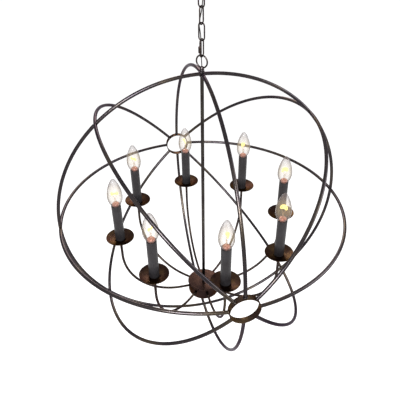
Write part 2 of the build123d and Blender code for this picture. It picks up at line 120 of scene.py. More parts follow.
def spun(name, outline, turns=48, closed=False):
    """A form spun on the lathe: its outline, in radius and height, is drawn and turned once round Z."""
    bpy.ops.object.select_all(action="DESELECT")
    bpy.ops.mesh.primitive_plane_add(size=0.0001, location=(outline[0][0], 0, outline[0][1]))
    piece = begun(name)
    bpy.ops.mesh.select_mode(type="VERT")
    bpy.ops.mesh.select_all(action="SELECT")
    bpy.ops.mesh.merge(type="CENTER")
    steps = list(zip(outline, outline[1:])) + ([(outline[-1], outline[0])] if closed else [])
    for before, here in steps:
        run = (here[0] - before[0], 0, here[1] - before[1])
        bpy.ops.mesh.extrude_region_move(TRANSFORM_OT_translate={"value": run})
    bpy.ops.mesh.select_all(action="SELECT")
    bpy.ops.mesh.spin(steps=turns, angle=2 * pi, center=(0, 0, 0), axis=(0, 0, 1))
    return piece


def close_up(piece, material, wall=0, edge=0, smooth=35):
    """Seams merged, faces turned outwards, then the wall of the sheet, rounded edges and the finish."""
    seam = 0.00001
    bpy.ops.mesh.select_all(action="SELECT")
    bpy.ops.mesh.remove_doubles(threshold=seam)
    bpy.ops.mesh.normals_make_consistent(inside=False)
    bpy.ops.object.mode_set(mode="OBJECT")
    if wall:
        sheet = piece.modifiers.new("sheet", "SOLIDIFY")
        sheet.thickness = wall
        bpy.ops.object.modifier_apply(modifier="sheet")
    if edge:
        rounding = piece.modifiers.new("rounding", "BEVEL")
        rounding.width = edge
        rounding.segments = 3
        rounding.limit_method = "ANGLE"
        rounding.angle_limit = radians(40)
        bpy.ops.object.modifier_apply(modifier="rounding")
    bpy.ops.object.shade_smooth_by_angle(angle=radians(smooth))
    piece.data.materials.append(material)
    return piece


def belongs(piece, body, slot, *nodes):
    """The piece moves with its body and stands for its solids, which are hidden; the slot is not used."""
    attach(piece, body)
    if nodes:
        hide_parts(*nodes)


def thread(low, high, crest, root, pitch):
    """Outline of a screw thread, from one height up to another."""
    outline, height = [(root, low)], low
    while height + pitch <= high:
        outline += [(root, height + 0.15 * pitch), (crest, height + 0.45 * pitch),
                    (crest, height + 0.6 * pitch)]
        height += pitch
        outline.append((root, height - 0.1 * pitch))
    return outline + [(root, high)]


pipe_bore, pipe_end, pipe_root, pipe_crest = 0.00325, 0.0043, 0.0045, 0.005
pipe_length, pipe_pitch = 0.019, 0.0011
pipe_thread = thread(0.0004 - pipe_length, -0.0004, pipe_crest, pipe_root, pipe_pitch)
nipple = spun("threaded_nipple", [(pipe_bore, 0), (pipe_bore, -pipe_length), (pipe_end, -pipe_length)]
              + pipe_thread[1:-1] + [(pipe_end, 0)], 32, closed=True)
close_up(nipple, zinc, smooth=50)
belongs(nipple, "ceiling_mount", "plated_steel", "nipple")


def picked(piece, kind, wanted):
    """Of the piece's faces or edges, the ones that pass the test are selected, and no others."""
    shape = bmesh.from_edit_mesh(piece.data)
    for part in shape.faces if kind == "FACE" else shape.edges:
        part.select_set(wanted(part))
    bmesh.update_edit_mesh(piece.data)


def hex_nut(name, across, height, hole, material):
    """Six-sided nut with its low face at height 0, corners chamfered and the hole right through."""
    chamfer = across * 0.07
    web = across * 0.42 - hole / 2 * 0.95
    bpy.ops.object.select_all(action="DESELECT")
    bpy.ops.mesh.primitive_cylinder_add(vertices=6, radius=across / 2 / cos(pi / 6), depth=height,
                                        location=(0, 0, height / 2), rotation=(0, 0, pi / 6))
    nut = begun(name)
    bpy.ops.mesh.select_all(action="DESELECT")
    bpy.ops.mesh.select_mode(type="FACE")
    for end in (1, -1):
        picked(nut, "FACE", lambda face: face.normal.z * end > 0.9)
        bpy.ops.mesh.inset(thickness=chamfer, depth=0)
        bpy.ops.mesh.inset(thickness=web, depth=0)
    picked(nut, "FACE", lambda face: abs(face.normal.z) > 0.9
           and face.calc_center_median().xy.length < 0.00001)
    bpy.ops.mesh.bridge_edge_loops()
    close_up(nut, material, edge=chamfer / 2, smooth=30)
    return nut


def put(piece, move):
    """The piece is set in its place, and the place is kept in its mesh."""
    piece.data.transform(move)
    piece.data.update()
    return piece


under_bar = Matrix.Translation((0, 0, -0.006))
lock_nut = put(hex_nut("nipple_lock_nut", 0.015, 0.0035, 2 * pipe_crest + 0.0001, zinc), under_bar)
belongs(lock_nut, "ceiling_mount", "plated_steel", "nipple_nut")


# ---- ceiling loop ----
# A cast collar with a long outer thread for the canopy's ring, and a round eye that carries the chain.
# It is bored for the lamp wire and has the same rubbed bronze finish as the cage.
cool_rim, warm_rim = (0.49, 0.465, 0.5), (0.5, 0.45, 0.42)
bronze = finish("rubbed_bronze",
                [(0.03, 0.026, 0.029), (0.043, 0.037, 0.038), (0.066, 0.053, 0.04)], (0.2, 0.27),
                patch=9, relief=0.03, rim=cool_rim)
wire_bore = 0.00275


def round_bar(name, thickness, place, turn, sides=16, fill="NGON"):
    """A disc of round bar, ready to be drawn out in edit mode."""
    bpy.ops.object.select_all(action="DESELECT")
    bpy.ops.mesh.primitive_circle_add(vertices=sides, radius=thickness / 2, fill_type=fill, location=place,
                                      rotation=turn)
    piece = begun(name)
    bpy.ops.mesh.select_mode(type="VERT")
    bpy.ops.mesh.select_all(action="SELECT")
    return piece


def in_hand(piece):
    """Only this piece is selected, for the next step to work on."""
    bpy.ops.object.select_all(action="DESELECT")
    bpy.context.view_layer.objects.active = piece
    piece.select_set(True)


def cut(piece, tool):
    """The tool's shape is taken out of the piece, and the tool is put away."""
    in_hand(piece)
    away = piece.modifiers.new("away", "BOOLEAN")
    away.operation = "DIFFERENCE"
    away.solver = "EXACT"
    away.object = tool
    bpy.ops.object.modifier_apply(modifier="away")
    bpy.data.objects.remove(tool)


first_way = Vector((cos(pi / 4), -sin(pi / 4), 0))
second_way = Vector((cos(pi / 4), sin(pi / 4), 0))
collar_crest, collar_root, collar_pitch = 0.013, 0.0123, 0.0013
collar = spun("ceiling_loop_collar", [(0.00505, -0.014), (0.00505, -0.02), (wire_bore, -0.0202),
              (wire_bore, -0.0345), (0.0052, -0.0345), (0.0066, -0.0325), (0.0075, -0.0312),
              (0.0112, -0.031), (0.012, -0.0304)]
              + thread(-0.03, -0.0145, collar_crest, collar_root, collar_pitch) + [(0.0118, -0.014)],
              48, closed=True)
close_up(collar, bronze, smooth=50)
belongs(collar, "ceiling_mount", "chain", "ceiling_loop")
eye_middle = Vector((0, 0, -0.04125))
eye_radius, eye_wire = 0.01025, 0.0045
eye = round_bar("ceiling_loop_eye", eye_wire, eye_middle + second_way * eye_radius, (0, 0, pi / 4),
                fill="NOTHING")
bpy.ops.mesh.spin(steps=64, angle=2 * pi, center=eye_middle, axis=first_way)
close_up(eye, bronze)
eye_crown = (0, 0, eye_middle.z + eye_radius)
bpy.ops.mesh.primitive_cylinder_add(vertices=32, radius=wire_bore, depth=0.008, location=eye_crown)
cut(eye, bpy.context.object)
belongs(eye, "ceiling_mount", "chain", "ceiling_loop")


# ---- canopy and its ring ----
# The canopy is spun from thin steel sheet, flat in the middle and curved down to a rolled lip.
# A knurled ring on the ceiling loop's thread holds it against the ceiling.
sheet_bronze = finish("spun_sheet_bronze",
                      [(0.016, 0.01, 0.009), (0.03, 0.019, 0.015), (0.05, 0.032, 0.018)], (0.3, 0.42),
                      patch=30, rim=warm_rim)
canopy_depth = 0.024
canopy = spun("canopy_dish", [(0.0137, -canopy_depth), (0.0255, -canopy_depth), (0.034, -0.0226),
              (0.044, -0.0201), (0.0535, -0.0166), (0.0598, -0.0118), (0.0629, -0.0062),
              (0.0635, -0.0028), (0.0635, 0)], 72)
close_up(canopy, sheet_bronze, wall=0.0012, edge=0.0004, smooth=40)
belongs(canopy, "canopy", "spun_sheet", "canopy")

grip_radius, grip_height, grip_bore, knurls = 0.018, 0.007, 0.0131, 40
grip_middle = -canopy_depth - grip_height / 2
bpy.ops.object.select_all(action="DESELECT")
bpy.ops.mesh.primitive_cylinder_add(vertices=3 * knurls, radius=grip_radius, depth=grip_height,
                                    end_fill_type="NOTHING", location=(0, 0, grip_middle))
grip = begun("canopy_grip")
bpy.ops.mesh.select_mode(type="FACE")
bpy.ops.mesh.select_all(action="SELECT")
bpy.ops.mesh.inset(thickness=0.00115, use_individual=False, use_boundary=True)


def in_groove(face):
    """Every third face round the middle of the grip is pressed in as a groove."""
    middle = face.calc_center_median()
    turn = int((Vector((1, 0)).angle_signed(middle.xy) % (2 * pi)) / (2 * pi) * 3 * knurls)
    return abs(middle.z - grip_middle) < 0.001 and turn % 3 == 0


picked(grip, "FACE", in_groove)
bpy.ops.mesh.inset(thickness=0.0002, depth=-0.0005, use_individual=True)
bpy.ops.mesh.select_all(action="DESELECT")
bpy.ops.mesh.select_mode(type="EDGE")
shoulder = grip_radius - 0.0011
for end in (-canopy_depth - grip_height, -canopy_depth):
    picked(grip, "EDGE", lambda edge: edge.is_boundary and abs(edge.verts[0].co.z - end) < 0.0001)
    for inwards in (shoulder / grip_radius, grip_bore / shoulder):
        bpy.ops.mesh.extrude_region_move(TRANSFORM_OT_translate={"value": (0, 0, 0)})
        bpy.ops.transform.resize(value=(inwards, inwards, 1), center_override=(0, 0, end))
picked(grip, "EDGE", lambda edge: edge.is_boundary)
bpy.ops.mesh.bridge_edge_loops()
close_up(grip, sheet_bronze, smooth=30)
belongs(grip, "canopy", "spun_sheet", "canopy_ring")


# ---- chain links ----
# Each link is cut from round steel wire, bent into two half-round bows and two straight legs.
# The ends meet in a weld in the middle of one leg, ground down to a low swelling.
def drawn_out(run):
    """The open end of the bar in hand is drawn out straight."""
    bpy.ops.mesh.extrude_region_move(TRANSFORM_OT_translate={"value": run})


def swelled(share, middle):
    """The end in hand is widened or narrowed about its own middle."""
    bpy.ops.transform.resize(value=(share, share, 1), center_override=middle)


def wire_link(name, length, width, wire):
    """Link in the plane of X and Z round the origin, its weld halfway up one leg."""
    bow, leg = (width - wire) / 2, (length - width) / 2
    weld_half = 0.0012
    link = round_bar(name, wire, (bow, 0, -leg), (0, 0, 0), fill="NOTHING")
    drawn_out((0, 0, leg - weld_half))
    reached = -weld_half
    for rise, share in ((0.0007, 1.13), (0.0005, 1.07), (0.0005, 1 / 1.07), (0.0007, 1 / 1.13)):
        drawn_out((0, 0, rise))
        reached += rise
        swelled(share, (bow, 0, reached))
    drawn_out((0, 0, leg - weld_half))
    bpy.ops.mesh.spin(steps=14, angle=pi, center=(0, 0, leg), axis=(0, 1, 0))
    drawn_out((0, 0, -2 * leg))
    bpy.ops.mesh.spin(steps=14, angle=pi, center=(0, 0, -leg), axis=(0, 1, 0))
    return link


def copy_of(piece, name, move):
    """Another of the same, with its own mesh, set in its place."""
    other = piece.copy()
    other.data = piece.data.copy()
    other.name = other.data.name = name
    bpy.context.collection.objects.link(other)
    return put(other, move)


link_bronze = finish("chain_bronze", [(0.02, 0.015, 0.015), (0.034, 0.026, 0.024), (0.05, 0.038, 0.03)],
                     (0.24, 0.34), patch=90, rim=cool_rim)
link_width, link_wire = 0.0165, 0.003
link_heights = (-0.0652, -0.0974, -0.1296)
link = close_up(wire_link("link_pattern", 0.0385, link_width, link_wire), link_bronze)
for number, (height, turn) in enumerate(zip(link_heights, (-45, 45, -45)), 1):
    place = Matrix.Translation((0, 0, height)) @ Matrix.Rotation(radians(turn), 4, "Z")
    piece = copy_of(link, f"link_of_chain_{number}", place)
    belongs(piece, f"link_{number}", "chain", f"chain_link_{number}")
bpy.data.objects.remove(link)

# ---- link that opens, and its nut ----
# The lowest link has a gap in one leg, with a thread on both sides of it.
# A long hexagon nut runs down over the gap and closes the link.
quick_height = -0.16255
quick_leg = (link_width - link_wire) / 2
quick = wire_link("opening_link", 0.04, link_width, link_wire)
close_up(quick, link_bronze)
bpy.ops.mesh.primitive_cube_add(size=0.006, location=(quick_leg, 0, -0.0042))
bpy.ops.transform.resize(value=(1, 1, 0.75))
cut(quick, bpy.context.object)
turned_round = Matrix.Translation((0, 0, quick_height)) @ Matrix.Rotation(radians(45 + 180), 4, "Z")
put(quick, turned_round)
belongs(quick, "quick_link", "chain", "quick_link")
quick_nut = hex_nut("opening_link_nut", 0.0065, 0.013, 0.0031, link_bronze)
put(quick_nut, turned_round @ Matrix.Translation((quick_leg, 0, -0.0085)))
belongs(quick_nut, "quick_nut", "chain", "quick_link_nut")

# ---- loop on top of the cage ----
# A ring of round bar welded to a short turned neck, which screws onto the end of the stem.
# Both are bored for the lamp wire.
loop_middle = Vector((0, 0, -0.19075))
loop_radius, loop_wire, stem_room = 0.01325, 0.0035, 0.00405
neck = spun("loop_neck", [(wire_bore, -0.2015), (wire_bore, -0.2072), (stem_room, -0.2074),
            (stem_room, -0.21325), (0.00525, -0.21325), (0.00525, -0.2083), (0.0047, -0.2074),
            (0.0047, -0.2062), (0.0051, -0.2055), (0.0042, -0.2028), (0.0036, -0.2015)], 40, closed=True)
close_up(neck, bronze, edge=0.0002)
belongs(neck, "orb", "chain", "top_loop")
top_ring = round_bar("loop_ring", loop_wire, loop_middle + first_way * loop_radius, (0, 0, -pi / 4),
                     fill="NOTHING")
bpy.ops.mesh.spin(steps=72, angle=2 * pi, center=loop_middle, axis=second_way)
close_up(top_ring, bronze)
loop_foot = (0, 0, loop_middle.z - loop_radius)
bpy.ops.mesh.primitive_cylinder_add(vertices=32, radius=wire_bore, depth=0.008, location=loop_foot)
cut(top_ring, bpy.context.object)
belongs(top_ring, "orb", "chain", "top_loop")


# ---- lamp wire ----
# One round lead in dark plastic, woven down the chain from link to link and into the stem.
# It is cut through the middle of each link into five stretches.
def wire_along(name, route, thickness, steps, roundness, material):
    """Round wire laid along a smooth line through the route's corners, and made a mesh."""
    path = bpy.data.curves.new(name, "CURVE")
    path.dimensions = "3D"
    line = path.splines.new("NURBS")
    line.points.add(len(route) - 1)
    for point, place in zip(line.points, route):
        point.co = (*place, 1)
    line.order_u = 3
    line.use_endpoint_u = True
    line.resolution_u = steps
    path.bevel_depth = thickness / 2
    path.bevel_resolution = roundness
    path.use_fill_caps = True
    piece = bpy.data.objects.new(name, path)
    bpy.context.collection.objects.link(piece)
    in_hand(piece)
    bpy.ops.object.convert(target="MESH")
    piece = bpy.context.object
    bpy.ops.object.mode_set(mode="EDIT")
    bpy.ops.mesh.select_all(action="SELECT")
    bpy.ops.mesh.remove_doubles(threshold=0.000001)
    bpy.ops.mesh.normals_make_consistent(inside=False)
    bpy.ops.object.mode_set(mode="OBJECT")
    bpy.ops.object.shade_smooth_by_angle(angle=radians(50))
    piece.data.materials.clear()
    piece.data.materials.append(material)
    return piece


def beside(along_first, along_second, height):
    """A corner of the lead's route, beside the middle of the chain at a height."""
    return first_way * along_first + second_way * along_second + Vector((0, 0, height))


hung_at = (-0.0515, -0.08295, -0.11515, -0.14735, -0.18105)
route = [beside(0, 0, -0.018), beside(0, 0, -0.03375), beside(0.0043, 0.0043, hung_at[0]),
         beside(0.0034, 0, link_heights[0]), beside(0.0039, -0.0039, hung_at[1]),
         beside(0, -0.0034, link_heights[1]), beside(-0.0039, -0.0039, hung_at[2]),
         beside(-0.0034, 0, link_heights[2]), beside(-0.0039, 0.0039, hung_at[3]),
         beside(-0.0034, 0.0039, quick_height), beside(-0.0039, 0.0039, hung_at[4]),
         beside(0, 0, -0.19825), beside(0, 0, -0.22725)]
plastic = finish("lead_plastic", [(0.008, 0.007, 0.007), (0.014, 0.011, 0.01)], (0.42, 0.55), patch=200,
                 grain=900, metallic=0)
plastic.node_tree.nodes["Principled BSDF"].inputs["Specular IOR Level"].default_value = 0.25
lead = wire_along("lead", route, 0.0022, 16, 4, plastic)
divided_at = (*link_heights, quick_height)
for number, height in enumerate(hung_at):
    stretch = copy_of(lead, f"lead_{number + 1}", Matrix.Identity(4))
    in_hand(stretch)
    bpy.ops.object.mode_set(mode="EDIT")
    for place, above in ((divided_at[number - 1:number], True), (divided_at[number:number + 1], False)):
        if place:
            bpy.ops.mesh.select_all(action="SELECT")
            bpy.ops.mesh.bisect(plane_co=(0, 0, place[0]), plane_no=(0, 0, 1), use_fill=True,
                                clear_outer=above, clear_inner=not above)
    bpy.ops.object.mode_set(mode="OBJECT")
    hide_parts("lamp_wire")
    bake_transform(stretch)
bpy.data.objects.remove(lead)

# ---- cage: ribs ----
# Seven half circles of round steel rod run from the front hub over to the back one.
# The eighth, on top, is in two halves, with the stem between them.
# All are welded to the hubs, and the seven are notched inside where the cross hoop passes under them.
cage_middle = Vector((0, 0, -0.56725))
cage_radius = 0.35
rod = 0.008
notch = rod + 0.00006
rib_angles = (48, 90, 138, 180, 228, 270, 318)


def arc_rib(name, from_turn, to_turn):
    """Part of the top rib: a turn of 0 is at the front hub, half a turn at the back one."""
    start = cage_middle + cage_radius * Vector((0, -cos(from_turn), sin(from_turn)))
    piece = round_bar(name, rod, start, (-from_turn, 0, 0))
    steps = round((to_turn - from_turn) / pi * 96)          # 96 steps to the half circle
    bpy.ops.mesh.spin(steps=steps, angle=to_turn - from_turn, center=cage_middle, axis=(1, 0, 0))
    return piece


def turned_in_cage(angle):
    """A turn about the line from hub to hub."""
    about = Matrix.Translation(cage_middle)
    return about @ Matrix.Rotation(radians(angle), 4, "Y") @ about.inverted()


rib_end, stem_gap, block = 0.0322, 0.0031, 0.02
at_hub, at_stem = asin(rib_end / cage_radius), stem_gap / cage_radius
rib = close_up(arc_rib("rib_pattern", at_hub, pi - at_hub), bronze)
inner_half = (0, 0, cage_middle.z + cage_radius - block / 2)
bpy.ops.mesh.primitive_cube_add(size=block, location=inner_half)
bpy.ops.transform.resize(value=(1, notch / block, 1))
cut(rib, bpy.context.object)
for number, angle in enumerate(rib_angles, 2):
    piece = copy_of(rib, f"cage_rib_{number}", turned_in_cage(angle))
    belongs(piece, "orb", "rod", f"rib_{number}")
bpy.data.objects.remove(rib)
for end, first_turn, last_turn in (("front", at_hub, pi / 2 - at_stem),
                                   ("back", pi / 2 + at_stem, pi - at_hub)):
    piece = close_up(arc_rib(f"cage_rib_1_{end}", first_turn, last_turn), bronze)
    belongs(piece, "orb", "rod", f"rib_1_{end}")

# ---- cage: cross hoop ----
# A full circle of the same rod, midway between the hubs, ties the ribs together.
# It is notched on its outside at each rib, and its two ends are welded to the stem.
start = cage_middle + cage_radius * Vector((sin(at_stem), 0, cos(at_stem)))
hoop = round_bar("cage_hoop", rod, start, (0, pi / 2, 0))
bpy.ops.mesh.spin(steps=192, angle=-(2 * pi - 2 * at_stem), center=cage_middle, axis=(0, 1, 0))
close_up(hoop, bronze)
for angle in rib_angles:
    out = Vector((sin(radians(angle)), 0, cos(radians(angle))))
    bpy.ops.mesh.primitive_cube_add(size=block, location=cage_middle + out * (cage_radius + block / 2),
                                    rotation=(0, radians(angle), 0), scale=(notch / block, 1, 1))
    cut(hoop, bpy.context.object)
belongs(hoop, "orb", "rod", "cross_hoop")

# ---- cage: hub rings ----
# Two short bands of steel tube with dressed edges, one at the front and one at the back.
# The ribs end on their outside in small ground welds.
hub_bronze = finish("hub_bronze", [(0.022, 0.014, 0.012), (0.04, 0.026, 0.02), (0.075, 0.05, 0.027)],
                    (0.28, 0.42), patch=32, rim=warm_rim)
hub_radius, hub_wall, hub_width, hub_distance = 0.033, 0.002, 0.014, 0.34844
for end, middle in (("front", -hub_distance), ("back", hub_distance)):
    bpy.ops.object.select_all(action="DESELECT")
    bpy.ops.mesh.primitive_cylinder_add(vertices=96, radius=hub_radius, depth=hub_width,
                                        end_fill_type="NOTHING", location=(0, middle, cage_middle.z),
                                        rotation=(pi / 2, 0, 0))
    hub = begun(f"cage_hub_{end}")
    close_up(hub, hub_bronze, wall=hub_wall, edge=0.0005, smooth=40)
    belongs(hub, "orb", "spun_sheet", f"hub_ring_{end}")


# ---- welds ----
# A small bead, ground but still lumpy, runs round each rib where it meets a hub ring,
# and two more run round the stem, over and under the knot of rods at the top.
def bead_round(name, height, radius, thickness, seed):
    """Bead round Z at a height, its ripples drawn at random from a fixed seed."""
    bead = round_bar(name, thickness, (radius, 0, height), (pi / 2, 0, 0), sides=8, fill="NOTHING")
    bpy.ops.mesh.spin(steps=26, angle=2 * pi, center=(0, 0, height), axis=(0, 0, 1))
    bpy.ops.mesh.select_all(action="SELECT")
    bpy.ops.mesh.remove_doubles(threshold=0.00001)
    bpy.ops.transform.vertex_random(offset=thickness * 0.14, seed=seed)
    return close_up(bead, bronze, smooth=60)


weld_above, weld_out = 0.0332, 0.3484
bead = bead_round("weld_pattern", cage_middle.z + weld_above, 0.0038, 0.0022, 3)
put(bead, Matrix.Translation((0, -weld_out, 0)))
for end, half in (("front", 0), ("back", pi)):
    beads = []
    for number, angle in enumerate((0, *rib_angles), 1):
        place = Matrix.Rotation(half, 4, "Z") @ turned_in_cage(angle)
        beads.append(copy_of(bead, f"hub_weld_{end}_{number}", place))
    in_hand(beads[0])
    for piece in beads[1:]:
        piece.select_set(True)
    bpy.ops.object.join()
    beads[0].name = beads[0].data.name = f"hub_welds_{end}"
    belongs(beads[0], "orb", "rod")
bpy.data.objects.remove(bead)
for name, height, radius, thickness in (("over", -0.2135, 0.0052, 0.0026),
                                        ("under", -0.2216, 0.0045, 0.003)):
    belongs(bead_round(f"knot_weld_{name}", height, radius, thickness, 5), "orb", "rod")

# ---- stem ----
# A straight steel tube from the loop at the top, through the crossing of the cage, down through the drum.
# Both ends are threaded, for the loop and for the cap nut.
stem_bronze = finish("stem_bronze", [(0.026, 0.022, 0.021), (0.04, 0.035, 0.032), (0.052, 0.047, 0.038)],
                     (0.24, 0.34), patch=14, relief=0.03, rim=cool_rim)
stem_radius, stem_root, stem_top, stem_foot = 0.004, 0.0036, -0.20725, -0.86025
stem = spun("stem_tube", [(wire_bore, stem_top), (wire_bore, stem_foot), (0.0038, stem_foot),
            (stem_radius, -0.86), (stem_radius, -0.2139), (stem_root, -0.2136)]
            + thread(-0.2135, -0.2075, stem_radius, stem_root, 0.001) + [(stem_root, stem_top)],
            32, closed=True)
close_up(stem, stem_bronze, smooth=50)
belongs(stem, "orb", "stem_tube", "stem")

# ---- drum ----
# The wires of the eight arms meet in a shallow drum: a turned lid with a rolled edge on a spun cup.
# A hexagon cap nut on the stem draws the two together from below.
drum_bronze = finish("drum_bronze", [(0.015, 0.009, 0.009), (0.024, 0.014, 0.012), (0.036, 0.02, 0.016)],
                     (0.3, 0.42), patch=34, rim=warm_rim)
lid_top, cup_top, cup_foot, cup_radius = -0.81925, -0.82125, -0.85525, 0.0425
lid = spun("drum_cover", [(stem_room, lid_top), (0.0395, lid_top), (0.0425, -0.81945), (0.0438, -0.81985),
           (0.044, -0.8203), (0.0438, -0.8209), (0.0432, cup_top), (stem_room, cup_top)], 80, closed=True)
close_up(lid, drum_bronze, smooth=50)
belongs(lid, "orb", "spun_sheet", "drum_lid")
cup = spun("drum_cup_shell", [(cup_radius, cup_top), (cup_radius, -0.8482), (0.0421, -0.8507),
           (0.0407, -0.8532), (0.0383, -0.8549), (0.0355, cup_foot), (stem_room, cup_foot)], 80)
close_up(cup, drum_bronze, wall=0.0015, edge=0.0003, smooth=40)
arm_turns = [radians(-90 + 45 * index) for index in range(8)]
arm_level, arm_hole = -0.83125, 0.0033
for turn in arm_turns:
    place = (0.042 * cos(turn), 0.042 * sin(turn), arm_level)
    bpy.ops.mesh.primitive_cylinder_add(vertices=24, radius=arm_hole, depth=0.02, location=place,
                                        rotation=(0, pi / 2, turn))
    cut(cup, bpy.context.object)
belongs(cup, "orb", "spun_sheet", "drum_cup")
cap_nut_height = 0.007
cap_nut = hex_nut("drum_nut", 0.013, cap_nut_height, 2 * stem_room, drum_bronze)
put(cap_nut, Matrix.Translation((0, 0, cup_foot - cap_nut_height)))
belongs(cap_nut, "orb", "spun_sheet", "drum_cap_nut")

# ---- arms and their lock nuts ----
# Each arm is steel tube that leaves the drum level, turns up in one long bend and ends under its candle.
# Inside the drum a thin nut locks it, and another holds its pan.
arm_bronze = finish("arm_bronze", [(0.022, 0.015, 0.014), (0.036, 0.027, 0.023), (0.052, 0.041, 0.028)],
                    (0.28, 0.38), patch=18, relief=0.03, rim=cool_rim)
arm_end, arm_straight, arm_bend, arm_rise = 0.032, 0.032, 0.15, 0.06275
candle_ring = arm_end + arm_straight + arm_bend
arm = round_bar("arm_pattern", 0.0065, (arm_end, 0, arm_level), (0, pi / 2, 0))
drawn_out((arm_straight, 0, 0))
bend_middle = (arm_end + arm_straight, 0, arm_level + arm_bend)
bpy.ops.mesh.spin(steps=28, angle=pi / 2, center=bend_middle, axis=(0, 1, 0))
drawn_out((0, 0, arm_rise))
close_up(arm, arm_bronze, edge=0.0003)
thin_nut = (0.011, 0.003, 2 * arm_hole, arm_bronze)
inside_cup, under_pan = (0.0405, 0, arm_level), (candle_ring, 0, -0.63045)
arm_nut = put(hex_nut("arm_nut_pattern", *thin_nut),
              Matrix.Translation(inside_cup) @ Matrix.Rotation(-pi / 2, 4, "Y"))
pan_nut = put(hex_nut("pan_nut_pattern", *thin_nut), Matrix.Translation(under_pan))

# ---- drip pans, sleeves and sockets ----
# Under each candle lies a pan spun from sheet, with a well that the sleeve stands in.
# The sleeve is a painted paper tube round a moulded socket with a brass screw shell.
pan_bronze = finish("pan_bronze", [(0.018, 0.01, 0.009), (0.03, 0.017, 0.012), (0.05, 0.03, 0.015)],
                    (0.3, 0.42), patch=36, rim=warm_rim)
well = -0.62625
pan = spun("pan_pattern", [(0.00335, well), (0.0128, well), (0.0142, -0.6257), (0.0178, -0.6251),
           (0.0222, -0.6242), (0.0272, -0.6229), (0.0313, -0.6216), (0.0338, -0.62065),
           (0.0349, -0.62025)], 64)
close_up(pan, pan_bronze, wall=0.0012, edge=0.0003, smooth=40)
charcoal = finish("charcoal_sleeve", [(0.011, 0.01, 0.011), (0.016, 0.015, 0.016), (0.021, 0.02, 0.022)],
                  (0.4, 0.52), patch=40, grain=700, relief=0.1, metallic=0)
charcoal.node_tree.nodes["Principled BSDF"].inputs["Specular IOR Level"].default_value = 0.35
sleeve_radius, sleeve_height = 0.01175, 0.104
sleeve = spun("sleeve_pattern", [(sleeve_radius, well), (sleeve_radius, well + sleeve_height)], 48)
close_up(sleeve, charcoal, wall=0.0009, edge=0.0002, smooth=40)
moulding = finish("moulded_socket", [(0.02, 0.018, 0.016), (0.035, 0.03, 0.026)], (0.35, 0.5), patch=150,
                  metallic=0)
socket = spun("socket_pattern", [(0, -0.6178), (0.0034, -0.6178), (0.0034, well), (0.0048, well),
              (0.0048, -0.5525), (0.0088, -0.5515), (0.0095, -0.5495), (0.0095, -0.5265), (0.0088, -0.52575),
              (0.0068, -0.52575), (0.0067, -0.54775), (0, -0.54775)], 40)
close_up(socket, moulding, smooth=40)

# ---- lamps ----
# A clear candle lamp: blown glass drawn to a soft tip, a brass screw cap with a soldered contact,
# a glass mount with two supply wires, and a filament strung between them, which glows.
# The glass's dark grey-pink colour is a painted dark reflection, which shows where the glass covers most, at
# its edge.
glass = finish("lamp_glass", [(0.1, 0.075, 0.07), (0.14, 0.11, 0.1)], (0.02, 0.05), patch=60, grain=40,
               relief=0.01, metallic=0)


def reckoned(nodes, links, operation, *values):
    """The outcome of a sum with one or two values, each a number or a node's output."""
    working = nodes.new("ShaderNodeMath")
    working.operation = operation
    for value, socket in zip(values, working.inputs):
        if isinstance(value, float):
            socket.default_value = value
        else:
            links.new(value, socket)
    return working.outputs[0]


# The glass covers most at its edge, in faint streaks drawn upwards, and its glow fades from the filament.
# Its dark grey-pink colour, shown most at the edge, is a painted dark reflection.
glow_middle, glow_reach = -0.4895, 0.034
nodes, links = glass.node_tree.nodes, glass.node_tree.links
blown = nodes["Principled BSDF"]
blown.inputs["Specular IOR Level"].default_value = 0.15
where = nodes["Texture Coordinate"].outputs["Object"]
slant = nodes.new("ShaderNodeLayerWeight")
slant.inputs["Blend"].default_value = 0.3
edge_cover = from_to(nodes, links, slant.outputs["Facing"], (0.12, 1), (0.1, 0.72))
drawn_up = nodes.new("ShaderNodeMapping")
drawn_up.inputs["Scale"].default_value = (1, 1, 0.05)
links.new(where, drawn_up.inputs["Vector"])
streaks = nodes.new("ShaderNodeTexNoise")
streaks.inputs["Scale"].default_value = 170
streaks.inputs["Detail"].default_value = 1
links.new(drawn_up.outputs["Vector"], streaks.inputs["Vector"])
streak_cover = from_to(nodes, links, streaks.outputs["Fac"], (0.35, 0.65), (0.65, 1.35))
veil = reckoned(nodes, links, "MULTIPLY", edge_cover, streak_cover)
links.new(veil, blown.inputs["Alpha"])
place_in_glass = nodes.new("ShaderNodeSeparateXYZ")
links.new(where, place_in_glass.inputs["Vector"])
from_filament = reckoned(nodes, links, "ADD", place_in_glass.outputs["Z"], -glow_middle)
fading = from_to(nodes, links, reckoned(nodes, links, "ABSOLUTE", from_filament), (0, glow_reach), (0, 1))
glow = nodes.new("ShaderNodeValToRGB")
glow.color_ramp.elements[0].position = 0.1
glow.color_ramp.elements[0].color = (0.9, 0.73, 0.4, 1)
glow.color_ramp.elements[1].position = 0.9
glow.color_ramp.elements[1].color = (0.36, 0.3, 0.3, 1)
links.new(fading, glow.inputs["Fac"])
links.new(glow.outputs["Color"], blown.inputs["Emission Color"])
dimming = from_to(nodes, links, slant.outputs["Facing"], (0.05, 0.42), (0.82, 0.1))
links.new(dimming, blown.inputs["Emission Strength"])

